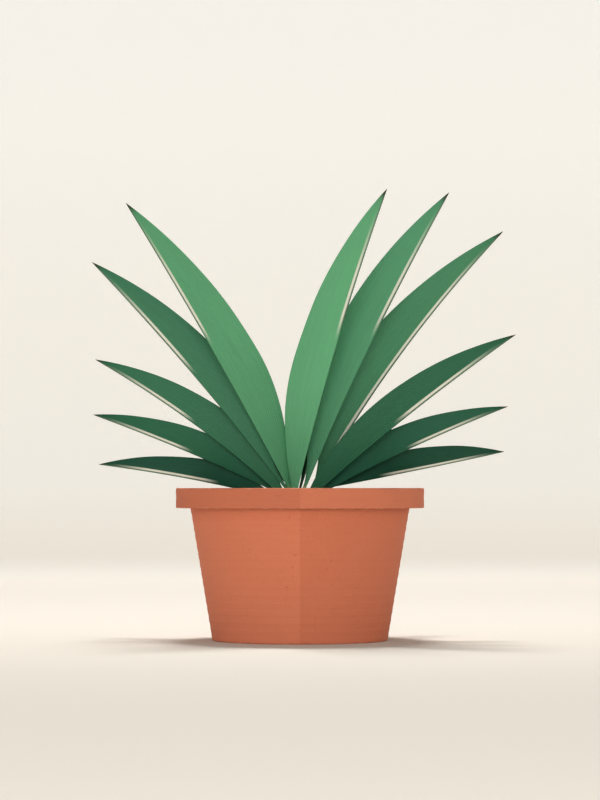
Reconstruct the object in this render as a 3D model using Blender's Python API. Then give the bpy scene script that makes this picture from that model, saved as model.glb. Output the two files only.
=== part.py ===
"""A dracaena in a terracotta pot: a turned pot with a rim band, potting soil, a short
stem and a rosette of folded sword leaves. Metres, +Z up. The origin is on the pot's
axis where the pot stands, and the front of the plant is towards -Y."""

import math

import bmesh
import bpy
from mathutils import Vector

# Pot
POT_HEIGHT = 0.1226
RIM_DIAMETER = 0.200
RIM_BAND = 0.0161  # height of the straight band
RIM_WALL = 0.0125
RIM_OVERHANG = 0.0117  # the band stands out this far past the body
BASE_DIAMETER = 0.1411
WALL = 0.0082
FLOOR = 0.0100
DRAIN_DIAMETER = 0.0240
EDGE = 0.0010  # chamfer on the pot's outer corners
ROUND_SIDES = 64

# Soil
SOIL_BELOW_RIM = 0.0190  # at the wall
SOIL_CROWN = 0.0030  # the soil stands this much higher round the stem
SOIL_RINGS = 5
SOCKET_DEPTH = 0.0300  # of the stem's end in the soil

# Stem
STEM_DIAMETER = 0.0160
STEM_TIP_DIAMETER = 0.0060
STEM_TAPER = 0.0110  # height of the cone that carries the leaves
STEM_TIP_BELOW_RIM = 0.0015
SCAR_PITCH = 0.0055  # old leaf scars ring the stem
SCAR_DEPTH = 0.0004

# Leaves
LEAF_THICKNESS = 0.0012
MARGIN_THICKNESS = 0.0007
NECK_WIDTH = 0.0016  # of each half of the fold where it meets the stem
KEEL_RIDGE = 2.2  # most that the keel stands out, in half thicknesses
CREASE_FILL = 0.4  # most that the crease fills the fold, as a share of its width
FOLD_ROOM = 0.7  # share of the room between the halves of a tight fold that they fill
CAMBER = 0.04  # outward belly of each half blade, as a share of its width
OPENING = (0.15, 0.55)  # the fold opens between these shares of the leaf's length
ROLL_SHARE = 0.25  # the roll is complete at this share of the length
LEAF_STEPS = 18
STEP_GROWTH = 1.3  # the sections stand closer together near the neck

GAP = 0.0003  # between pieces that touch

# Each leaf is one half-folded blade. Directions are degrees from +X, seen from above:
#   azimuth, reach, rise   where the tip is, from the axis and above the rim
#   seat, turn             how far down from the rim to the soil it leaves the stem, as
#                          a share, and how far round from its own azimuth
#   width, widest, waist   widest half blade, where that is along the length, and how
#                          fast the blade narrows below it
#   arch                   how far the keel stands above a straight line
#   fold, neck_fold        from the fold's middle plane to each half, open and at the neck
#   roll                   turn about the keel, away from the front
LEAVES = {
    "leaf_left_1": dict(
        azimuth=-149, reach=0.1595, rise=0.2235, seat=0.24, turn=-30,
        width=0.031, widest=0.44, waist=1.1, arch=0.003, fold=32, neck_fold=18, roll=-9,
        colour="bright",
    ),
    "leaf_left_2": dict(
        azimuth=-172, reach=0.1685, rise=0.181, seat=0.37, turn=30,
        width=0.0274, widest=0.44, waist=2.6, arch=0.004, fold=19, neck_fold=18, roll=6,
        colour="middle",
    ),
    "leaf_left_3": dict(
        azimuth=174, reach=0.1675, rise=0.1045, seat=0.58, turn=30,
        width=0.0236, widest=0.36, waist=1.5, arch=0.006, fold=21, neck_fold=18, roll=11,
        colour="middle",
    ),
    "leaf_left_4": dict(
        azimuth=169, reach=0.1725, rise=0.06, seat=0.47, turn=-30,
        width=0.0206, widest=0.42, waist=2.6, arch=0.003, fold=23, neck_fold=18, roll=5,
        colour="deep",
    ),
    "leaf_left_5": dict(
        azimuth=157, reach=0.1815, rise=0.0195, seat=0.53, turn=10,
        width=0.0182, widest=0.39, waist=2.6, arch=0.003, fold=30, neck_fold=18, roll=15,
        colour="dark",
    ),
    "leaf_right_1": dict(
        azimuth=-62, reach=0.143, rise=0.2305, seat=0.42, turn=-60,
        width=0.0312, widest=0.42, waist=0.9, arch=0.0065, fold=20, neck_fold=27, roll=-11,
        colour="bright",
    ),
    "leaf_right_2": dict(
        azimuth=-32, reach=0.1385, rise=0.2325, seat=0.13, turn=-30,
        width=0.0304, widest=0.43, waist=1.5, arch=0.0045, fold=19, neck_fold=15, roll=0,
        colour="fresh",
    ),
    "leaf_right_3": dict(
        azimuth=-7, reach=0.1645, rise=0.206, seat=0.39, turn=30,
        width=0.0312, widest=0.37, waist=2, arch=0.009, fold=20, neck_fold=18, roll=0,
        colour="middle",
    ),
    "leaf_right_4": dict(
        azimuth=-32, reach=0.1975, rise=0.119, seat=0.58, turn=-30,
        width=0.0228, widest=0.46, waist=0.9, arch=0.004, fold=22, neck_fold=18, roll=-1,
        colour="deep",
    ),
    "leaf_right_5": dict(
        azimuth=-11, reach=0.169, rise=0.065, seat=0.5, turn=-30,
        width=0.0206, widest=0.43, waist=2.1, arch=0.0035, fold=24, neck_fold=18, roll=0,
        colour="dark",
    ),
    "leaf_right_6": dict(
        azimuth=5, reach=0.1665, rise=0.0295, seat=0.11, turn=-30,
        width=0.019, widest=0.53, waist=2.4, arch=-0.0005, fold=34, neck_fold=17, roll=7,
        colour="dark",
    ),
    "leaf_back_1": dict(
        azimuth=77, reach=0.12, rise=0.158, seat=0.13, turn=40,
        width=0.02, widest=0.44, waist=1.4, arch=0.01, fold=33, neck_fold=20, roll=6,
        colour="middle",
    ),
    "leaf_back_2": dict(
        azimuth=125, reach=0.131, rise=0.124, seat=0.32, turn=20,
        width=0.021, widest=0.52, waist=2.2, arch=0.01, fold=18, neck_fold=15, roll=-10,
        colour="middle",
    ),
    "leaf_back_3": dict(
        azimuth=63, reach=0.14, rise=0.137, seat=0.34, turn=40,
        width=0.021, widest=0.58, waist=1.6, arch=0.01, fold=34, neck_fold=20, roll=-9,
        colour="deep",
    ),
    "leaf_back_4": dict(
        azimuth=136, reach=0.131, rise=0.06, seat=0.13, turn=30,
        width=0.017, widest=0.51, waist=1.9, arch=0.008, fold=18, neck_fold=19, roll=-9,
        colour="deep",
    ),
    "leaf_back_5": dict(
        azimuth=48, reach=0.17, rise=0.046, seat=0.68, turn=30,
        width=0.0195, widest=0.48, waist=1.9, arch=0.007, fold=26, neck_fold=18, roll=-6,
        colour="deep",
    ),
    "leaf_back_6": dict(
        azimuth=94, reach=0.127, rise=0.023, seat=0.55, turn=30,
        width=0.017, widest=0.53, waist=1.2, arch=0.0065, fold=30, neck_fold=14, roll=9,
        colour="dark",
    ),
}

COLOURS = {
    "terracotta": ((0.54, 0.15, 0.08), 0.75),
    "soil": ((0.035, 0.022, 0.015), 0.90),
    "stem": ((0.20, 0.17, 0.09), 0.70),
    "bright": ((0.10, 0.31, 0.14), 0.45),
    "fresh": ((0.08, 0.25, 0.12), 0.45),
    "middle": ((0.06, 0.19, 0.09), 0.45),
    "deep": ((0.03, 0.11, 0.06), 0.45),
    "dark": ((0.017, 0.064, 0.034), 0.45),
}

UP = Vector((0, 0, 1))


def clear_scene():
    for item in list(bpy.data.objects):
        bpy.data.objects.remove(item)


def material(name):
    """The Principled material of one colour, made once."""
    found = bpy.data.materials.get(name)
    if found:
        return found
    made = bpy.data.materials.new(name)
    made.use_nodes = True
    shader = made.node_tree.nodes["Principled BSDF"]
    colour, roughness = COLOURS[name]
    shader.inputs["Base Color"].default_value = (*colour, 1)
    shader.inputs["Roughness"].default_value = roughness
    shader.inputs["Metallic"].default_value = 0
    made.diffuse_color = (*colour, 1)
    return made


def add_object(name, bm, colour, sharp_angle=35):
    bmesh.ops.recalc_face_normals(bm, faces=bm.faces)
    mesh = bpy.data.meshes.new(name)
    bm.to_mesh(mesh)
    bm.free()
    mesh.shade_smooth()
    mesh.set_sharp_from_angle(angle=math.radians(sharp_angle))
    item = bpy.data.objects.new(name, mesh)
    item.data.materials.append(material(colour))
    bpy.context.scene.collection.objects.link(item)
    return item


def turned(name, profile, colour, closed):
    """Spin a profile of (radius, height) points round the Z axis."""
    bm = bmesh.new()
    points = [bm.verts.new((radius, 0, height)) for radius, height in profile]
    ends = points[1:] + points[:1] if closed else points[1:]
    edges = [bm.edges.new(pair) for pair in zip(points, ends)]
    bmesh.ops.spin(
        bm, geom=points + edges, cent=(0, 0, 0), axis=UP, angle=math.tau,
        steps=ROUND_SIDES, use_merge=True,
    )
    bmesh.ops.remove_doubles(bm, verts=bm.verts, dist=1e-6)
    return add_object(name, bm, colour)


# Pot, soil and stem


def body_radius(height):
    """Outer radius of the pot's tapered body, also carried on inside the rim band."""
    top = RIM_DIAMETER / 2 - RIM_OVERHANG
    base = BASE_DIAMETER / 2
    return base + (top - base) * height / (POT_HEIGHT - RIM_BAND)


def inside_profile(clearance):
    """Inside of the pot from the rim's top down to the floor, drawn in by a clearance."""
    band_foot = POT_HEIGHT - RIM_BAND
    mouth = RIM_DIAMETER / 2 - RIM_WALL
    step_foot = band_foot - (mouth - body_radius(band_foot) + WALL)
    return [
        (mouth - clearance, POT_HEIGHT),
        (mouth - clearance, band_foot),
        (body_radius(step_foot) - WALL - clearance, step_foot),
        (body_radius(FLOOR) - WALL - clearance, FLOOR + clearance),
    ]


def make_pot():
    base = BASE_DIAMETER / 2
    rim = RIM_DIAMETER / 2
    drain = DRAIN_DIAMETER / 2
    band_foot = POT_HEIGHT - RIM_BAND
    outside = [
        (drain, 0),
        (base - EDGE, 0),
        (body_radius(EDGE), EDGE),
        (body_radius(band_foot), band_foot),
        (rim - EDGE, band_foot),
        (rim, band_foot + EDGE),
        (rim, POT_HEIGHT - EDGE),
        (rim - EDGE, POT_HEIGHT),
    ]
    turned("pot", outside + inside_profile(0) + [(drain, FLOOR)], "terracotta", True)


def soil_edge():
    """Where the soil's top meets the inside of the pot."""
    top = POT_HEIGHT - SOIL_BELOW_RIM
    walls = inside_profile(GAP)
    for (wide, high), (narrow, low) in zip(walls, walls[1:]):
        if low <= top:
            return narrow + (wide - narrow) * (top - low) / (high - low), top
    return walls[-1]


def soil_height(radius):
    """The soil's top: a low crown round the stem that falls away to the wall."""
    edge, top = soil_edge()
    return top + SOIL_CROWN * (1 - (radius / edge) ** 2)


def make_soil():
    edge, top = soil_edge()
    below = [point for point in inside_profile(GAP) if point[1] < top]
    socket = STEM_DIAMETER / 2 + GAP
    socket_foot = soil_height(0) - SOCKET_DEPTH - GAP
    profile = [(0, socket_foot), (socket, socket_foot)]
    for n in range(SOIL_RINGS + 1):
        radius = socket + (edge - socket) * n / SOIL_RINGS
        profile.append((radius, soil_height(radius)))
    turned("soil", profile + below + [(0, below[-1][1])], "soil", False)


def stem_radius(height):
    """The stem's radius, with the cone at its top that carries the leaves."""
    tip = POT_HEIGHT - STEM_TIP_BELOW_RIM
    share = min(max((tip - height) / STEM_TAPER, 0), 1)
    return (STEM_TIP_DIAMETER + (STEM_DIAMETER - STEM_TIP_DIAMETER) * share) / 2


def make_stem():
    foot = soil_height(0) - SOCKET_DEPTH
    tip = POT_HEIGHT - STEM_TIP_BELOW_RIM
    shoulder = tip - STEM_TAPER
    profile = [(0, foot)]
    half_pitches = 2 * int((shoulder - foot) / SCAR_PITCH)
    for n in range(half_pitches):
        height = foot + n * SCAR_PITCH / 2
        profile.append((STEM_DIAMETER / 2 - SCAR_DEPTH * (n % 2), height))
    profile += [(STEM_DIAMETER / 2, shoulder), (STEM_TIP_DIAMETER / 2, tip), (0, tip)]
    turned("stem", profile, "stem", False)


# Leaves


def smooth_step(share):
    share = min(max(share, 0), 1)
    return share * share * (3 - 2 * share)


def half_width(t, leaf):
    """Width of each half blade at the share t of the length."""
    if t < leaf["widest"]:
        rising = t / leaf["widest"]
        shape = (rising * (2 - rising)) ** leaf["waist"]
    else:
        falling = (1 - t) / (1 - leaf["widest"])
        shape = falling * (2 - falling)
    return math.hypot(leaf["width"] * shape, NECK_WIDTH * (1 - t) ** 4)


def leaf_section(t, curve, side, front, leaf):
    """Ten points round the folded cross-section at t, outer face first."""
    base, control, tip = curve
    keel = (1 - t) ** 2 * base + 2 * t * (1 - t) * control + t * t * tip
    along = ((1 - t) * (control - base) + t * (tip - control)).normalized()
    inward = along.cross(side)
    roll = math.radians(leaf["roll"]) * min(t / ROLL_SHARE, 1)
    middle = inward * math.cos(roll) - front * side * math.sin(roll)
    across = side * math.cos(roll) + front * inward * math.sin(roll)

    opened = smooth_step((t - OPENING[0]) / (OPENING[1] - OPENING[0]))
    fold = math.radians(leaf["neck_fold"] + (leaf["fold"] - leaf["neck_fold"]) * opened)
    width = half_width(t, leaf)
    taper = math.sqrt(1 - t * t)
    thick = LEAF_THICKNESS / 2 * taper
    thin = MARGIN_THICKNESS / 2 * taper

    room = FOLD_ROOM * width * math.tan(fold)
    outer, inner = [], []
    for hand in (-1, 1):
        out = middle * math.cos(fold) + across * hand * math.sin(fold)
        normal = middle * math.sin(fold) - across * hand * math.cos(fold)
        margin = keel + out * width
        belly = keel + out * width / 2 - normal * CAMBER * width
        outer += [margin - normal * thin, belly - normal * thick]
        inner.append(margin + normal * min(thin, room))
        inner.append(belly + normal * min(thick, room / 2))
    ridge = min(thick / math.sin(fold), KEEL_RIDGE * thick)
    outer = outer[:2] + [keel - middle * ridge] + outer[:1:-1]
    inner = inner[:2] + [keel + middle * min(ridge, CREASE_FILL * width)] + inner[:1:-1]
    return outer + inner[::-1]


def make_leaf(name, leaf):
    azimuth = math.radians(leaf["azimuth"])
    seated = math.radians(leaf["azimuth"] + leaf["turn"])
    out = Vector((math.cos(azimuth), math.sin(azimuth), 0))
    seat = POT_HEIGHT - SOIL_BELOW_RIM * leaf["seat"]
    lean = math.atan2(POT_HEIGHT + leaf["rise"] - seat, leaf["reach"])
    # the inner edge of the neck lies against the stem
    from_axis = stem_radius(seat) + GAP + NECK_WIDTH * math.sin(lean) + MARGIN_THICKNESS / 2
    base = Vector((math.cos(seated), math.sin(seated), 0)) * from_axis + UP * seat
    tip = out * leaf["reach"] + UP * (POT_HEIGHT + leaf["rise"])
    side = UP.cross(tip - base).normalized()
    inward = (tip - base).normalized().cross(side)
    control = (base + tip) / 2 + 2 * leaf["arch"] * inward
    front = -1 if out.x > 0 else 1

    bm = bmesh.new()
    rings = []
    for n in range(LEAF_STEPS):
        t = (n / LEAF_STEPS) ** STEP_GROWTH
        section = leaf_section(t, (base, control, tip), side, front, leaf)
        rings.append([bm.verts.new(point) for point in section])
    count = len(rings[0])
    for lower, upper in zip(rings, rings[1:]):
        for n in range(count):
            m = (n + 1) % count
            bm.faces.new((lower[n], lower[m], upper[m], upper[n]))
    for n in range(count // 2 - 1):
        bm.faces.new((rings[0][n + 1], rings[0][n], rings[0][-1 - n], rings[0][-2 - n]))
    point = bm.verts.new(tip)
    for n in range(count):
        bm.faces.new((rings[-1][n], rings[-1][(n + 1) % count], point))
    add_object(name, bm, leaf["colour"])


def main():
    clear_scene()
    make_pot()
    make_soil()
    make_stem()
    for name, leaf in LEAVES.items():
        make_leaf(name, leaf)


main()
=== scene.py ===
import math

import bmesh
import bpy
import numpy as np
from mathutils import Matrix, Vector, noise


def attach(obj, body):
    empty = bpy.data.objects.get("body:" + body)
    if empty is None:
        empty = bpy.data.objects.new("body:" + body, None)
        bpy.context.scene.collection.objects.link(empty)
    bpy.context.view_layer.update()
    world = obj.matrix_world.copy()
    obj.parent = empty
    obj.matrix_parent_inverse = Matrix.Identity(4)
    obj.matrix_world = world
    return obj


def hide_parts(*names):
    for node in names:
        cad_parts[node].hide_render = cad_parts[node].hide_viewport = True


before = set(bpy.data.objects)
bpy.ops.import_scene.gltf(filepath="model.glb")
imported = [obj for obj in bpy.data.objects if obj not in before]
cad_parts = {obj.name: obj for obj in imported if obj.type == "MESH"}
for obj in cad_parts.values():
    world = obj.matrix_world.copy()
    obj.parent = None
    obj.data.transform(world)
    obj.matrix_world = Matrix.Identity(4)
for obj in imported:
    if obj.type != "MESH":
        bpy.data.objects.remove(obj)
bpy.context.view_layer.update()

up = np.array((0.0, 0.0, 1.0))


# helpers for meshes and node materials


def addNode(tree, kind, inputs=None, **settings):
    made = tree.nodes.new(kind)
    for key, value in settings.items():
        setattr(made, key, value)
    for key, value in (inputs or {}).items():
        if isinstance(value, bpy.types.NodeSocket):
            tree.links.new(value, made.inputs[key])
        else:
            made.inputs[key].default_value = value
    return made


def maths(tree, operation, first, second):
    return addNode(tree, "ShaderNodeMath", {0: first, 1: second}, operation=operation).outputs[0]


def attribute(tree, name):
    return addNode(tree, "ShaderNodeAttribute", attribute_name=name).outputs["Fac"]


# 0 at low and 1 at high, smooth between them; low may be the larger
def band(tree, value, low, high):
    limits = {"Value": value, "From Min": low, "From Max": high}
    if low > high:
        limits.update({"From Min": high, "From Max": low, "To Min": 1.0, "To Max": 0.0})
    return addNode(tree, "ShaderNodeMapRange", limits, interpolation_type="SMOOTHSTEP").outputs[0]


# a value from 0 to 1, stretched to run from low to high
def spread(tree, value, low, high):
    limits = {"Value": value, "To Min": low, "To Max": high}
    return addNode(tree, "ShaderNodeMapRange", limits).outputs[0]


def mixColour(tree, share, first, second):
    ends = [c if isinstance(c, bpy.types.NodeSocket) else (*c, 1) for c in (first, second)]
    inputs = {0: share, 6: ends[0], 7: ends[1]}
    return addNode(tree, "ShaderNodeMix", inputs, data_type="RGBA").outputs[2]


def noiseValue(tree, place, scale, detail):
    inputs = {"Vector": place, "Scale": scale, "Detail": detail}
    return addNode(tree, "ShaderNodeTexNoise", inputs).outputs["Fac"]


def shaded(tree, colour, amount):
    made = addNode(tree, "ShaderNodeVectorMath", {"Scale": amount}, operation="SCALE")
    tree.links.new(colour, made.inputs[0])
    return made.outputs[0]


def newMaterial(name):
    made = bpy.data.materials.new(name)
    made.use_nodes = True
    made.node_tree.nodes.clear()
    return made, made.node_tree


def finishMaterial(tree, colour, roughness, height, depth, specular, glow=0.0):
    bump = addNode(tree, "ShaderNodeBump", {"Height": height, "Distance": depth})
    inputs = {
        "Base Color": colour,
        "Roughness": roughness,
        "Specular IOR Level": specular,
        "Normal": bump.outputs[0],
        "Emission Strength": glow,
    }
    surface = addNode(tree, "ShaderNodeBsdfPrincipled", inputs)
    if glow:
        tree.links.new(colour, surface.inputs["Emission Color"])
    addNode(tree, "ShaderNodeOutputMaterial", {"Surface": surface.outputs[0]})


def addPiece(name, points, faces, mat, node):
    mesh = bpy.data.meshes.new(name)
    mesh.from_pydata(np.asarray(points).reshape(-1, 3).tolist(), [], faces)
    bm = bmesh.new()
    bm.from_mesh(mesh)
    bmesh.ops.recalc_face_normals(bm, faces=bm.faces)
    bm.to_mesh(mesh)
    bm.free()
    mesh.shade_smooth()
    mesh.materials.append(mat)
    piece = bpy.data.objects.new(name, mesh)
    bpy.context.scene.collection.objects.link(piece)
    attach(piece, "root")
    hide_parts(node)
    return piece


def pointValues(piece, name, values):
    made = piece.data.attributes.new(name, "FLOAT", "POINT")
    made.data.foreach_set("value", np.asarray(values, np.float32).ravel())


def smoothStep(share):
    share = np.clip(share, 0, 1)
    return share * share * (3 - 2 * share)


# rings of points, one for each (radius, height) of the profile
def spun(profile, sides):
    angle = np.arange(sides) * math.tau / sides
    ring = np.stack([np.cos(angle), np.sin(angle)], 1)
    flat = profile[:, None, :1] * ring[None]
    height = np.repeat(profile[:, None, 1:], sides, 1)
    return np.concatenate([flat, height], 2)


def ringFaces(rows, sides, closed=False, first=0):
    faces = []
    for n in range(rows if closed else rows - 1):
        low = first + n * sides
        high = first + (n + 1) % rows * sides
        for k in range(sides):
            j = (k + 1) % sides
            faces.append((low + k, low + j, high + j, high + k))
    return faces


# pot

pot = dict(
    height=0.1226,
    rim=0.100,
    bandHeight=0.0161,
    rimWall=0.0125,
    overhang=0.0117,
    base=0.07055,
    wall=0.0082,
    floor=0.0100,
    drain=0.0120,
    sides=192,
    # painted light and shade: lit and shaded copies of the clay's colour; bandShade darkens the band
    # as painted shade
    litClay=(0.560, 0.168, 0.088),
    shadedClay=(0.518, 0.150, 0.077),
    pit=(0.300, 0.070, 0.035),
    dust=(0.640, 0.290, 0.180),
    toneEdge=0.0003,
    bandEdge=(0.0004, 0.0002),
    bandShade=0.935,
    cloudSize=22,
    cloudTone=(0.965, 1.035),
    cloudGloss=(0.74, 0.90),
    grainSize=900,
    grainTone=(0.93, 1.07),
    pitSize=420,
    pitStrength=0.3,
    patchSize=130,
    dustStrength=0.5,
    rubbedEdge=0.0016,
    rubbedStep=0.0010,
    relief=0.0002,
    cornerRadii=(0.0012, 0.0014, 0.0005, 0.0010, 0.0014, 0.0018, 0.0010, 0.003, 0.005, 0.0012),
    spacing=0.0009,
    lineDepth=0.00010,
    lineMiddle=1.5,
    finePitch=0.0031,
    coarsePitch=0.0073,
)
bandFoot = pot["height"] - pot["bandHeight"]


def bodyRadius(height):
    top = pot["rim"] - pot["overhang"]
    return pot["base"] + (top - pot["base"]) * height / bandFoot


# inside of the pot, from the rim's top down to the floor
def insideCorners(clearance):
    mouth = pot["rim"] - pot["rimWall"]
    step = bandFoot - (mouth - bodyRadius(bandFoot) + pot["wall"])
    return [
        (mouth - clearance, pot["height"]),
        (mouth - clearance, bandFoot),
        (bodyRadius(step) - pot["wall"] - clearance, step),
        (bodyRadius(pot["floor"]) - pot["wall"] - clearance, pot["floor"] + clearance),
    ]


# closed profile with rounded corners and its straight runs divided
def roundedLine(corners, radii, spacing):
    path = []
    for n, corner in enumerate(corners):
        here = np.array(corner)
        before = np.array(corners[n - 1]) - here
        after = np.array(corners[(n + 1) % len(corners)]) - here
        start = here + before / np.linalg.norm(before) * radii[n]
        end = here + after / np.linalg.norm(after) * radii[n]
        for u in (0, 0.2, 0.4, 0.6, 0.8, 1):
            path.append((1 - u) ** 2 * start + 2 * u * (1 - u) * here + u * u * end)
    fine = []
    for a, b in zip(path, path[1:] + path[:1]):
        parts = max(1, round(np.linalg.norm(b - a) / spacing))
        fine += [a + (b - a) * k / parts for k in range(parts)]
    return np.array(fine)


def terracotta():
    mat, tree = newMaterial("terracotta")
    place = addNode(tree, "ShaderNodeTexCoord").outputs["Object"]
    axes = addNode(tree, "ShaderNodeSeparateXYZ", {0: place}).outputs
    # painted light and shade: a lit and a shaded copy of the clay meet on the front line, and swap
    # over on the band; bandShade is painted shade on the band
    rightSide = band(tree, axes[0], -pot["toneEdge"], pot["toneEdge"])
    below, above = pot["bandEdge"]
    onBand = band(tree, axes[2], bandFoot - below, bandFoot - above)
    swapped = maths(tree, "ABSOLUTE", maths(tree, "SUBTRACT", rightSide, onBand), 0.0)
    colour = mixColour(tree, swapped, pot["litClay"], pot["shadedClay"])
    colour = shaded(tree, colour, spread(tree, onBand, 1.0, pot["bandShade"]))
    cloud = noiseValue(tree, place, pot["cloudSize"], 4)
    grain = noiseValue(tree, place, pot["grainSize"], 3)
    pits = band(tree, noiseValue(tree, place, pot["pitSize"], 2), 0.32, 0.25)
    colour = shaded(tree, colour, spread(tree, cloud, *pot["cloudTone"]))
    colour = shaded(tree, colour, spread(tree, grain, *pot["grainTone"]))
    pitted = maths(tree, "MULTIPLY", pits, pot["pitStrength"])
    colour = mixColour(tree, pitted, colour, pot["pit"])
    # pale dust where the lips of the band and the foot are rubbed
    lips = 0.0
    edge, step = pot["rubbedEdge"], pot["rubbedStep"]
    for height, reach in ((pot["height"], edge), (bandFoot, step), (0.0, edge)):
        away = maths(tree, "ABSOLUTE", maths(tree, "SUBTRACT", axes[2], height), 0.0)
        lips = maths(tree, "MAXIMUM", lips, band(tree, away, reach, 0.0))
    patchy = band(tree, noiseValue(tree, place, pot["patchSize"], 4), 0.46, 0.66)
    worn = maths(tree, "MULTIPLY", maths(tree, "MULTIPLY", lips, patchy), pot["dustStrength"])
    colour = mixColour(tree, worn, colour, pot["dust"])
    relief = maths(tree, "SUBTRACT", grain, pits)
    finishMaterial(tree, colour, spread(tree, cloud, *pot["cloudGloss"]), relief, pot["relief"], 0.2)
    return mat


def makePot():
    corners = [
        (pot["drain"], 0.0),
        (pot["base"], 0.0),
        (bodyRadius(bandFoot), bandFoot),
        (pot["rim"], bandFoot),
        (pot["rim"], pot["height"]),
    ]
    corners += insideCorners(0) + [(pot["drain"], pot["floor"])]
    profile = roundedLine(corners, pot["cornerRadii"], pot["spacing"])
    points = spun(profile, pot["sides"])
    # faint turning lines, which fade out at the foot, the band's step and the lips
    radius, height = profile[:, 0], profile[:, 1]
    lined = smoothStep((radius - 0.045) / 0.010) * smoothStep((height - 0.003) / 0.004)
    lined *= smoothStep((pot["height"] - 0.003 - height) / 0.003)
    lined *= smoothStep((np.abs(height - bandFoot) - 0.0015) / 0.0015)
    lines = 0.5 * np.sin(height * math.tau / pot["finePitch"])
    lines += np.sin(height * math.tau / pot["coarsePitch"])
    scale = 1 + pot["lineDepth"] * lined * (lines - pot["lineMiddle"]) / radius
    points[..., :2] *= scale[:, None, None]
    faces = ringFaces(len(profile), pot["sides"], closed=True)
    addPiece("terracottaPot", points, faces, terracotta(), "pot")


makePot()
print("pot made")


# soil

soil = dict(
    below=0.0190,
    crown=0.0030,
    socket=0.0083,
    socketDepth=0.0303,
    gap=0.0003,
    rings=70,
    sides=180,
    lumps=420,
    dark=(0.020, 0.012, 0.008),
    brown=(0.075, 0.042, 0.024),
    pale=(0.520, 0.480, 0.400),
    coarseSize=160,
    fineSize=1100,
    relief=0.0006,
    roughness=0.0009,
    roughSize=110,
    fineRoughness=0.0004,
    fineRoughSize=420,
    settledWall=0.004,
    settledStem=0.002,
    smallestLump=0.0008,
    lumpRange=0.0022,
    lumpMargin=0.004,
    tiny=0.0002,
)


# soil's outline from its top edge down the pot's wall
def soilWalls():
    top = pot["height"] - soil["below"]
    walls = insideCorners(soil["gap"])
    for n, ((wide, high), (narrow, low)) in enumerate(zip(walls, walls[1:])):
        if low <= top:
            edge = narrow + (wide - narrow) * (top - low) / (high - low)
            return [(edge, top)] + walls[n + 1:]
    return walls


def soilHeight(radius):
    edge, top = soilWalls()[0]
    return top + soil["crown"] * (1 - (radius / edge) ** 2)


def soilMaterial():
    mat, tree = newMaterial("pottingSoil")
    place = addNode(tree, "ShaderNodeTexCoord").outputs["Object"]
    lump = attribute(tree, "lump")
    coarse = noiseValue(tree, place, soil["coarseSize"], 5)
    fine = noiseValue(tree, place, soil["fineSize"], 3)
    tone = maths(tree, "ADD", maths(tree, "MULTIPLY", coarse, 0.7), maths(tree, "MULTIPLY", lump, 0.4))
    colour = mixColour(tree, band(tree, tone, 0.3, 0.8), soil["dark"], soil["brown"])
    colour = shaded(tree, colour, spread(tree, fine, 0.6, 1.4))
    colour = mixColour(tree, band(tree, lump, 0.93, 0.94), colour, soil["pale"])
    relief = maths(tree, "ADD", coarse, fine)
    finishMaterial(tree, colour, spread(tree, fine, 0.85, 1.0), relief, soil["relief"], 0.15)
    return mat


# unit ball of 42 points, to be squashed into crumbs
def lumpShape():
    golden = (1 + math.sqrt(5)) / 2
    corners = []
    for a in (-1, 1):
        for b in (-golden, golden):
            corners += [(0, a, b), (a, b, 0), (b, 0, a)]
    corners = np.array(corners, float)
    near = [
        (i, j, k)
        for i in range(12)
        for j in range(i + 1, 12)
        for k in range(j + 1, 12)
        if max(np.linalg.norm(corners[p] - corners[q]) for p, q in ((i, j), (j, k), (i, k))) < 2.1
    ]
    points = list(corners)
    middles = {}

    def middle(a, b):
        key = (min(a, b), max(a, b))
        if key not in middles:
            middles[key] = len(points)
            points.append((corners[a] + corners[b]) / 2)
        return middles[key]

    faces = []
    for i, j, k in near:
        if np.dot(np.cross(corners[j] - corners[i], corners[k] - corners[i]), corners[i]) < 0:
            j, k = k, j
        a, b, c = middle(i, j), middle(j, k), middle(k, i)
        faces += [(i, a, c), (a, j, b), (c, b, k), (a, b, c)]
    points = np.array(points)
    return points / np.linalg.norm(points, axis=1)[:, None], faces


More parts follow.
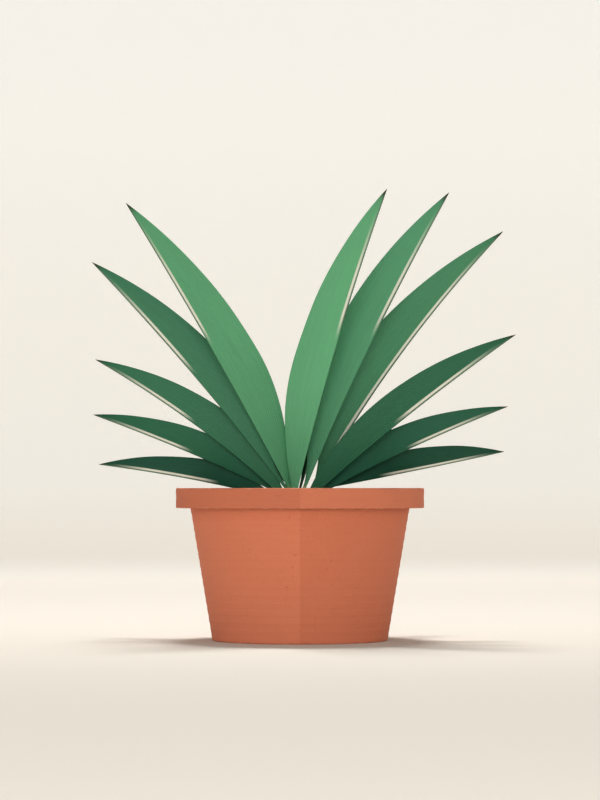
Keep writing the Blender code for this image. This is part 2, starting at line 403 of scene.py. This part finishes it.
def makeSoil():
    walls = soilWalls()
    edge = walls[0][0]
    socket = soil["socket"]
    radii = socket + (edge - socket) * np.linspace(0, 1, soil["rings"])
    top = np.stack([radii, [soilHeight(r) for r in radii]], 1)
    foot = soilHeight(0) - soil["socketDepth"]
    inner = np.array([(soil["tiny"], foot), (socket, foot)])
    outer = np.array(walls[1:] + [(soil["tiny"], walls[-1][1])])
    points = spun(np.concatenate([inner, top, outer]), soil["sides"])
    rough = points[2:2 + soil["rings"]]
    for row, radius in enumerate(radii):
        settled = float(smoothStep((edge - radius) / soil["settledWall"]))
        settled *= float(smoothStep((radius - socket) / soil["settledStem"]))
        for point in rough[row]:
            place = Vector(point)
            lift = noise.fractal(place * soil["roughSize"], 0.9, 2.1, 4) * soil["roughness"]
            lift += noise.noise(place * soil["fineRoughSize"]) * soil["fineRoughness"]
            point[2] += settled * lift
    faces = ringFaces(len(points), soil["sides"])
    last = (len(points) - 1) * soil["sides"]
    faces.append(tuple(range(soil["sides"] - 1, -1, -1)))
    faces.append(tuple(range(last, last + soil["sides"])))
    allPoints = [points.reshape(-1, 3)]
    lump = [np.full(points.shape[0] * points.shape[1], 0.2)]
    ball, ballFaces = lumpShape()
    chance = np.random.default_rng(11)
    count = len(lump[0])
    nearest, farthest = socket + soil["lumpMargin"], edge - soil["lumpMargin"]
    for n in range(soil["lumps"]):
        size = soil["smallestLump"] + soil["lumpRange"] * chance.random() ** 3
        radius = math.sqrt(chance.uniform(nearest, farthest) * farthest)
        angle = chance.uniform(0, math.tau)
        squash = np.array((1, chance.uniform(0.5, 1), chance.uniform(0.4, 0.8)))
        turn = Vector(chance.normal(size=3)).to_track_quat("Z", "Y").to_matrix()
        shape = ball * (1 + 0.25 * (chance.random(len(ball)) - 0.5))[:, None] * size * squash
        shape = shape @ np.array(turn).T
        shape += (radius * math.cos(angle), radius * math.sin(angle), soilHeight(radius) + 0.3 * size)
        allPoints.append(shape)
        lump.append(np.full(len(ball), chance.random()))
        faces += [tuple(count + i for i in face) for face in ballFaces]
        count += len(ball)
    mat = soilMaterial()
    piece = addPiece("pottingSoil", np.concatenate(allPoints), faces, mat, "soil")
    pointValues(piece, "lump", np.concatenate(lump))


makeSoil()
print("soil made")


# stem

stem = dict(
    radius=0.0080,
    tipRadius=0.0030,
    taper=0.0110,
    belowRim=0.0015,
    foot=0.0300,
    scarPitch=0.0055,
    scarDepth=0.0004,
    sides=72,
    bark=(0.205, 0.175, 0.090),
    scar=(0.095, 0.070, 0.038),
    fresh=(0.270, 0.330, 0.150),
    freshLength=0.014,
    mottleSize=260,
    relief=0.0004,
    rowHeight=0.0005,
    tiny=0.0002,
)
stemTip = pot["height"] - stem["belowRim"]


def stemMaterial():
    mat, tree = newMaterial("stemBark")
    place = addNode(tree, "ShaderNodeTexCoord").outputs["Object"]
    height = addNode(tree, "ShaderNodeSeparateXYZ", {0: place}).outputs[2]
    ring = attribute(tree, "scar")
    mottle = noiseValue(tree, place, stem["mottleSize"], 4)
    green = band(tree, height, stemTip - stem["freshLength"], stemTip)
    colour = mixColour(tree, green, stem["bark"], stem["fresh"])
    colour = mixColour(tree, maths(tree, "MULTIPLY", ring, 0.8), colour, stem["scar"])
    colour = shaded(tree, colour, spread(tree, mottle, 0.7, 1.3))
    relief = maths(tree, "SUBTRACT", mottle, ring)
    finishMaterial(tree, colour, spread(tree, mottle, 0.6, 0.8), relief, stem["relief"], 0.25)
    return mat


def makeStem():
    foot = soilHeight(0) - stem["foot"]
    shoulder = stemTip - stem["taper"]
    straight = np.arange(foot, shoulder, stem["rowHeight"])
    heights = np.concatenate([straight, np.linspace(shoulder, stemTip, 20)])
    taper = np.clip((stemTip - heights) / stem["taper"], 0, 1)
    radius = stem["tipRadius"] + (stem["radius"] - stem["tipRadius"]) * taper
    scar = (0.5 - 0.5 * np.cos((heights - foot) * math.tau / stem["scarPitch"])) ** 3
    scar *= heights < shoulder
    radius -= stem["scarDepth"] * scar
    profile = np.stack([radius, heights], 1)
    profile = np.concatenate([[(stem["tiny"], foot)], profile, [(stem["tiny"], stemTip)]])
    points = spun(profile, stem["sides"])
    faces = ringFaces(len(points), stem["sides"])
    last = (len(points) - 1) * stem["sides"]
    faces.append(tuple(range(stem["sides"] - 1, -1, -1)))
    faces.append(tuple(range(last, last + stem["sides"])))
    piece = addPiece("stemCane", points, faces, stemMaterial(), "stem")
    pointValues(piece, "scar", np.repeat(np.concatenate([[0], scar, [0]]), stem["sides"]))


makeStem()
print("stem made")


# leaves

# In the table, azimuth, reach and rise place the tip, from the pot's axis and its rim. Seat and
# turn place the neck on the stem, as a share of the way down to the soil and in degrees from
# the azimuth. Width is the widest half blade, widest is where along the leaf that is, and waist
# is how fast the blade narrows below it. Arch lifts the keel, and fold opens each half.

leafShape = dict(
    thickness=0.0012,
    margin=0.0007,
    neck=0.0016,
    keelRidge=2.2,
    creaseFill=0.4,
    foldRoom=0.7,
    camber=0.04,
    opening=(0.15, 0.55),
    rollShare=0.25,
    gap=0.0003,
    rows=120,
    across=12,
    wave=0.0004,
)

leaves = {
    "leaf_left_1": dict(
        azimuth=-149, reach=0.1595, rise=0.2235, seat=0.24, turn=-30,
        width=0.031, widest=0.44, waist=1.1, arch=0.003, fold=32, neckFold=18, roll=-9,
    ),
    "leaf_left_2": dict(
        azimuth=-172, reach=0.1685, rise=0.181, seat=0.37, turn=30,
        width=0.0274, widest=0.44, waist=2.6, arch=0.004, fold=19, neckFold=18, roll=6,
    ),
    "leaf_left_3": dict(
        azimuth=174, reach=0.1675, rise=0.1045, seat=0.58, turn=30,
        width=0.0236, widest=0.36, waist=1.5, arch=0.006, fold=21, neckFold=18, roll=11,
    ),
    "leaf_left_4": dict(
        azimuth=169, reach=0.1725, rise=0.06, seat=0.47, turn=-30,
        width=0.0206, widest=0.42, waist=2.6, arch=0.003, fold=23, neckFold=18, roll=5,
    ),
    "leaf_left_5": dict(
        azimuth=157, reach=0.1815, rise=0.0195, seat=0.53, turn=10,
        width=0.0182, widest=0.39, waist=2.6, arch=0.003, fold=30, neckFold=18, roll=15,
    ),
    "leaf_right_1": dict(
        azimuth=-62, reach=0.143, rise=0.2305, seat=0.42, turn=-60,
        width=0.0312, widest=0.42, waist=0.9, arch=0.0065, fold=20, neckFold=27, roll=-11,
    ),
    "leaf_right_2": dict(
        azimuth=-32, reach=0.1385, rise=0.2325, seat=0.13, turn=-30,
        width=0.0304, widest=0.43, waist=1.5, arch=0.0045, fold=19, neckFold=15, roll=0,
    ),
    "leaf_right_3": dict(
        azimuth=-7, reach=0.1645, rise=0.206, seat=0.39, turn=30,
        width=0.0312, widest=0.37, waist=2, arch=0.009, fold=20, neckFold=18, roll=0,
    ),
    "leaf_right_4": dict(
        azimuth=-32, reach=0.1975, rise=0.119, seat=0.58, turn=-30,
        width=0.0228, widest=0.46, waist=0.9, arch=0.004, fold=22, neckFold=18, roll=-1,
    ),
    "leaf_right_5": dict(
        azimuth=-11, reach=0.169, rise=0.065, seat=0.5, turn=-30,
        width=0.0206, widest=0.43, waist=2.1, arch=0.0035, fold=24, neckFold=18, roll=0,
    ),
    "leaf_right_6": dict(
        azimuth=5, reach=0.1665, rise=0.0295, seat=0.11, turn=-30,
        width=0.019, widest=0.53, waist=2.4, arch=-0.0005, fold=34, neckFold=17, roll=7,
    ),
    "leaf_back_1": dict(
        azimuth=77, reach=0.12, rise=0.158, seat=0.13, turn=40,
        width=0.02, widest=0.44, waist=1.4, arch=0.01, fold=33, neckFold=20, roll=6,
    ),
    "leaf_back_2": dict(
        azimuth=125, reach=0.131, rise=0.124, seat=0.32, turn=20,
        width=0.021, widest=0.52, waist=2.2, arch=0.01, fold=18, neckFold=15, roll=-10,
    ),
    "leaf_back_3": dict(
        azimuth=63, reach=0.14, rise=0.137, seat=0.34, turn=40,
        width=0.021, widest=0.58, waist=1.6, arch=0.01, fold=34, neckFold=20, roll=-9,
    ),
    "leaf_back_4": dict(
        azimuth=136, reach=0.131, rise=0.06, seat=0.13, turn=30,
        width=0.017, widest=0.51, waist=1.9, arch=0.008, fold=18, neckFold=19, roll=-9,
    ),
    "leaf_back_5": dict(
        azimuth=48, reach=0.17, rise=0.046, seat=0.68, turn=30,
        width=0.0195, widest=0.48, waist=1.9, arch=0.007, fold=26, neckFold=18, roll=-6,
    ),
    "leaf_back_6": dict(
        azimuth=94, reach=0.127, rise=0.023, seat=0.55, turn=30,
        width=0.017, widest=0.53, waist=1.2, arch=0.0065, fold=30, neckFold=14, roll=9,
    ),
}

# each leaf's green, with painted shade making the lower leaves darker, and where the painted shade and
# painted highlight lines along its keel begin
leafLooks = {
    "leaf_left_1": ((0.080, 0.281, 0.135), 0.50),
    "leaf_left_2": ((0.038, 0.166, 0.083), 0.50),
    "leaf_left_3": ((0.028, 0.140, 0.069), 0.50),
    "leaf_left_4": ((0.015, 0.107, 0.052), 0.50),
    "leaf_left_5": ((0.005, 0.062, 0.033), 0.36),
    "leaf_right_1": ((0.103, 0.347, 0.169), 0.50),
    "leaf_right_2": ((0.077, 0.276, 0.140), 0.50),
    "leaf_right_3": ((0.053, 0.210, 0.102), 0.06),
    "leaf_right_4": ((0.022, 0.115, 0.058), 0.44),
    "leaf_right_5": ((0.014, 0.097, 0.051), 0.50),
    "leaf_right_6": ((0.003, 0.056, 0.028), 0.36),
    "leaf_back_1": ((0.050, 0.165, 0.080), 0.40),
    "leaf_back_2": ((0.048, 0.160, 0.078), 0.40),
    "leaf_back_3": ((0.034, 0.118, 0.060), 0.40),
    "leaf_back_4": ((0.030, 0.105, 0.056), 0.40),
    "leaf_back_5": ((0.028, 0.100, 0.052), 0.40),
    "leaf_back_6": ((0.018, 0.066, 0.036), 0.40),
}
# how far the keel's painted shade line and painted highlight line reach from it, and the pattern of
# streaks, veins and mottle
leafPattern = dict(
    darkLine=(0.0006, 0.0011),
    paleLine=(0.0019, 0.0026),
    paleFade=(0.70, 0.95),
    lineStart=0.1,
    neckLength=0.035,
    tipStart=(0.955, 0.99),
    streaksAcross=9.0,
    streaksAlong=2.0,
    streakSize=1.6,
    streakStep=1.7,
    mottleSize=55,
    veins=15,
    relief=0.00018,
)
leafTints = dict(
    # the dark line is painted shade along the keel's crest, and the pale tint is a painted highlight
    # next to it
    line=(0.100, 0.170, 0.110),
    keelGlint=(0.640, 0.640, 0.540),
    tip=(0.030, 0.045, 0.022),
    neck=(0.330, 0.400, 0.200),
)


def leafMaterial(name, number):
    green, lineFrom = leafLooks[name]
    mat, tree = newMaterial(name.replace("_", "") + "Green")
    along = attribute(tree, "along")
    across = attribute(tree, "across")
    fromKeel = attribute(tree, "fromKeel")
    outer = attribute(tree, "outer")
    lengthwise = {
        "X": maths(tree, "MULTIPLY", across, leafPattern["streaksAcross"]),
        "Y": maths(tree, "MULTIPLY", along, leafPattern["streaksAlong"]),
        "Z": number * leafPattern["streakStep"],
    }
    lengthwise = addNode(tree, "ShaderNodeCombineXYZ", lengthwise).outputs[0]
    place = addNode(tree, "ShaderNodeTexCoord").outputs["Object"]
    streaks = noiseValue(tree, lengthwise, leafPattern["streakSize"], 4)
    mottle = noiseValue(tree, place, leafPattern["mottleSize"], 4)
    veins = maths(tree, "MULTIPLY", across, math.tau * leafPattern["veins"])
    veins = maths(tree, "SINE", veins, 0.0)
    tone = spread(tree, streaks, 0.90, 1.10)
    tone = maths(tree, "MULTIPLY", tone, spread(tree, mottle, 0.96, 1.04))
    tone = maths(tree, "MULTIPLY", tone, spread(tree, veins, 1.0, 1.015))
    neck = band(tree, along, leafPattern["neckLength"], 0.0)
    colour = mixColour(tree, neck, green, leafTints["neck"])
    colour = shaded(tree, colour, tone)
    # painted shade darkens the keel's crest, and a pale painted highlight runs next to it
    darkFrom, darkTo = leafPattern["darkLine"]
    paleFrom, paleTo = leafPattern["paleLine"]
    fadeFrom, fadeTo = leafPattern["paleFade"]
    started = band(tree, along, lineFrom, lineFrom + leafPattern["lineStart"])
    lined = maths(tree, "MULTIPLY", outer, started)
    crest = maths(tree, "MULTIPLY", lined, band(tree, fromKeel, darkTo, darkFrom))
    beyondDark = band(tree, fromKeel, darkFrom, darkTo)
    glint = maths(tree, "MULTIPLY", beyondDark, band(tree, fromKeel, paleTo, paleFrom))
    glint = maths(tree, "MULTIPLY", glint, band(tree, along, fadeTo, fadeFrom))
    colour = mixColour(tree, maths(tree, "MULTIPLY", lined, glint), colour, leafTints["keelGlint"])
    colour = mixColour(tree, crest, colour, leafTints["line"])
    colour = mixColour(tree, band(tree, along, *leafPattern["tipStart"]), colour, leafTints["tip"])
    relief = maths(tree, "ADD", maths(tree, "MULTIPLY", veins, 0.35), streaks)
    gloss = spread(tree, mottle, 0.50, 0.66)
    finishMaterial(tree, colour, gloss, relief, leafPattern["relief"], 0.22)
    return mat


# the keel's three guide points, its flat side direction and which half faces front
def leafSpine(leaf):
    azimuth = math.radians(leaf["azimuth"])
    seated = math.radians(leaf["azimuth"] + leaf["turn"])
    seat = pot["height"] - soil["below"] * leaf["seat"]
    lean = math.atan2(pot["height"] + leaf["rise"] - seat, leaf["reach"])
    taper = min(max((stemTip - seat) / stem["taper"], 0), 1)
    fromAxis = stem["tipRadius"] + (stem["radius"] - stem["tipRadius"]) * taper
    fromAxis += leafShape["gap"] + leafShape["neck"] * math.sin(lean) + leafShape["margin"] / 2
    base = np.array((math.cos(seated) * fromAxis, math.sin(seated) * fromAxis, seat))
    tip = np.array((math.cos(azimuth), math.sin(azimuth), 0)) * leaf["reach"]
    tip[2] = pot["height"] + leaf["rise"]
    straight = (tip - base) / np.linalg.norm(tip - base)
    side = np.cross(up, straight)
    side /= np.linalg.norm(side)
    control = (base + tip) / 2 + 2 * leaf["arch"] * np.cross(straight, side)
    return base, control, tip, side, -1 if math.cos(azimuth) > 0 else 1


def halfWidth(t, leaf):
    rising = np.clip(t / leaf["widest"], 0, 1)
    falling = np.clip((1 - t) / (1 - leaf["widest"]), 0, 1)
    below = (rising * (2 - rising)) ** leaf["waist"]
    shape = np.where(t < leaf["widest"], below, falling * (2 - falling))
    return np.hypot(leaf["width"] * shape, leafShape["neck"] * (1 - t) ** 4)


# points round each folded cross-section, with their values for the material
def leafRings(leaf, number):
    base, control, tip, side, front = leafSpine(leaf)
    t = ((np.arange(leafShape["rows"]) / leafShape["rows"]) ** 1.15)[:, None]
    keel = (1 - t) ** 2 * base + 2 * t * (1 - t) * control + t * t * tip
    forward = (1 - t) * (control - base) + t * (tip - control)
    forward /= np.linalg.norm(forward, axis=1)[:, None]
    inward = np.cross(forward, side)
    roll = math.radians(leaf["roll"]) * np.clip(t / leafShape["rollShare"], 0, 1)
    middle = inward * np.cos(roll) - front * side * np.sin(roll)
    sideways = side * np.cos(roll) + front * inward * np.sin(roll)
    first, last = leafShape["opening"]
    opened = smoothStep((t - first) / (last - first))
    fold = np.radians(leaf["neckFold"] + (leaf["fold"] - leaf["neckFold"]) * opened)
    width = halfWidth(t, leaf)
    taper = np.sqrt(1 - t * t)
    thick = leafShape["thickness"] / 2 * taper
    lip = np.minimum(leafShape["margin"] / 2 * taper, width / 2)

    # shares of the half width: closer near the keel, then round the margin's lip
    flat = np.linspace(0, 1, leafShape["across"] - 2) ** 1.6
    bend = np.radians((30, 60, 90))
    share = np.concatenate([(1 - lip / width) * flat, 1 - lip / width * (1 - np.sin(bend))], 1)
    half = thick + (lip - thick) * smoothStep((share - 0.4) / 0.6)
    half[:, -3:] = lip * np.cos(bend)
    ridge = np.minimum(thick / np.sin(fold), leafShape["keelRidge"] * thick)
    crease = np.minimum(ridge, leafShape["creaseFill"] * width)
    inside = np.minimum(half, leafShape["foldRoom"] * width * np.tan(fold) * share)
    near = 1 - smoothStep(share * width / np.minimum(0.002, width / 2))
    wave = leafShape["wave"] * share ** 2 * np.sin(math.pi * t)

    outer, inner = {}, {}
    for hand in (-1, 1):
        out = (middle * np.cos(fold) + sideways * hand * np.sin(fold))[:, None]
        normal = (middle * np.sin(fold) - sideways * hand * np.cos(fold))[:, None]
        ripple = wave * np.sin(math.tau * (3.3 * t + 0.37 * number + 0.2 * hand))
        lift = ripple - leafShape["camber"] * width * 4 * share * (1 - share)
        sheet = keel[:, None] + out * (width * share)[..., None] + normal * lift[..., None]
        crest = middle[:, None] * near[..., None]
        away = normal * (1 - near)[..., None]
        outer[hand] = sheet - crest * ridge[..., None] - away * half[..., None]
        inner[hand] = sheet + crest * crease[..., None] + away * inside[..., None]
    rings = [outer[-1][:, ::-1], outer[1][:, 1:], inner[1][:, -2::-1], inner[-1][:, 1:-1]]
    shares = [share[:, ::-1], share[:, 1:], share[:, -2::-1], share[:, 1:-1]]
    shares = np.concatenate(shares, 1)
    isOuter = np.zeros_like(shares)
    isOuter[:, : 2 * share.shape[1] - 1] = 1
    values = {
        "along": t + 0 * shares,
        "across": shares,
        "fromKeel": shares * width,
        "outer": isOuter,
    }
    return np.concatenate(rings, 1), values, tip


def makeLeaf(name, number):
    rings, values, tip = leafRings(leaves[name], number)
    rows, count = rings.shape[:2]
    faces = ringFaces(rows, count)
    faces.append((1, 0, count - 1))  # the neck's end, from one margin across
    for n in range(1, count // 2 - 1):
        faces.append((n + 1, n, count - n, count - 1 - n))
    last = (rows - 1) * count
    faces += [(last + n, last + (n + 1) % count, rows * count) for n in range(count)]
    points = np.concatenate([rings.reshape(-1, 3), [tip]])
    side, order = name.split("_")[1:]
    mat = leafMaterial(name, number)
    piece = addPiece(f"{side}Leaf{order}", points, faces, mat, name)
    ends = {"along": 1, "across": 0, "fromKeel": 0, "outer": 1}
    for key, value in values.items():
        pointValues(piece, key, np.append(value.ravel(), ends[key]))


for number, name in enumerate(leaves):
    makeLeaf(name, number)
print("leaves made")


# studio: a floor that curves up into a round paper wall, and two softboxes

studio = dict(
    rings=(0.001, 0.4, 0.8, 1.6, 2.4),
    floorRadius=3.6,
    bendRadius=0.9,
    top=3.2,
    sides=128,
    floor=(0.650, 0.605, 0.539),
    farFloor=(0.768, 0.724, 0.654),
    middle=(0.785, 0.760, 0.708),
    high=(0.780, 0.772, 0.748),
    fadeBack=(0.9, 2.4),
    wallFoot=0.15,
    wallHigh=(0.35, 1.20),
    glow=0.45,
    glowFrom=(0.4, 2.0),
    fibreSize=240,
    air=0.21,
    lit=0.15,
)
softboxes = {
    "frontSoftbox": dict(place=(-0.05, -3.5, 0.55), width=2.6, height=0.9, power=50.0),
    "topSoftbox": dict(place=(-0.04, 0.48, 1.90), width=0.42, height=0.42, power=41.0),
}


def backdropMaterial():
    mat, tree = newMaterial("paperBackdrop")
    place = addNode(tree, "ShaderNodeTexCoord").outputs["Object"]
    axes = addNode(tree, "ShaderNodeSeparateXYZ", {0: place}).outputs
    back = band(tree, axes[1], *studio["fadeBack"])
    colour = mixColour(tree, back, studio["floor"], studio["farFloor"])
    foot = band(tree, axes[2], 0.0, studio["wallFoot"])
    colour = mixColour(tree, foot, colour, studio["middle"])
    colour = mixColour(tree, band(tree, axes[2], *studio["wallHigh"]), colour, studio["high"])
    fibre = noiseValue(tree, place, studio["fibreSize"], 3)
    colour = shaded(tree, colour, spread(tree, fibre, 0.992, 1.008))
    # the wall's paper is lit from behind
    away = addNode(tree, "ShaderNodeVectorMath", {0: place}, operation="LENGTH").outputs["Value"]
    glow = maths(tree, "MULTIPLY", band(tree, away, *studio["glowFrom"]), studio["glow"])
    finishMaterial(tree, colour, 0.9, fibre, 0.0001, 0.0, glow)
    return mat


def makeBackdrop():
    radii = np.array((*studio["rings"], studio["floorRadius"]))
    turn = np.radians(np.arange(5, 91, 5))
    bend = np.stack([np.sin(turn), 1 - np.cos(turn)], 1) * studio["bendRadius"]
    bend[:, 0] += studio["floorRadius"]
    wall = [(bend[-1, 0], studio["top"])]
    profile = np.concatenate([np.stack([radii, 0 * radii], 1), bend, wall])
    points = spun(profile, studio["sides"])
    faces = ringFaces(len(profile), studio["sides"]) + [tuple(range(studio["sides"]))]
    mesh = bpy.data.meshes.new("backdrop")
    mesh.from_pydata(points.reshape(-1, 3).tolist(), [], faces)
    mesh.shade_smooth()
    mesh.materials.append(backdropMaterial())
    backdrop = bpy.data.objects.new("backdrop", mesh)
    bpy.context.scene.collection.objects.link(backdrop)


def makeLights():
    world = bpy.data.worlds.new("studioAir")
    world.use_nodes = True
    air = world.node_tree.nodes["Background"]
    air.inputs["Color"].default_value = (1, 1, 1, 1)
    air.inputs["Strength"].default_value = studio["air"]
    bpy.context.scene.world = world
    for name, box in softboxes.items():
        lamp = bpy.data.lights.new(name, "AREA")
        lamp.shape = "RECTANGLE"
        lamp.size = box["width"]
        lamp.size_y = box["height"]
        lamp.energy = box["power"]
        softbox = bpy.data.objects.new(name, lamp)
        softbox.location = box["place"]
        toPlant = Vector((0, 0, studio["lit"])) - softbox.location
        softbox.rotation_euler = toPlant.to_track_quat("-Z", "Y").to_euler()
        softbox.visible_camera = False
        bpy.context.scene.collection.objects.link(softbox)


camera = dict(distance=2.6, lens=145.08, sensor=36, aim=0.19357)


def makeCamera():
    data = bpy.data.cameras.new("camera")
    data.lens = camera["lens"]
    data.sensor_width = camera["sensor"]
    data.dof.use_dof = False
    eye = bpy.data.objects.new("camera", data)
    eye.location = (0, -camera["distance"], pot["height"])
    aim = Vector((0, 0, camera["aim"])) - eye.location
    eye.rotation_euler = aim.to_track_quat("-Z", "Y").to_euler()
    bpy.context.scene.collection.objects.link(eye)
    bpy.context.scene.camera = eye
    bpy.context.scene.view_settings.view_transform = "Standard"


makeBackdrop()
makeLights()
makeCamera()
print("studio made")
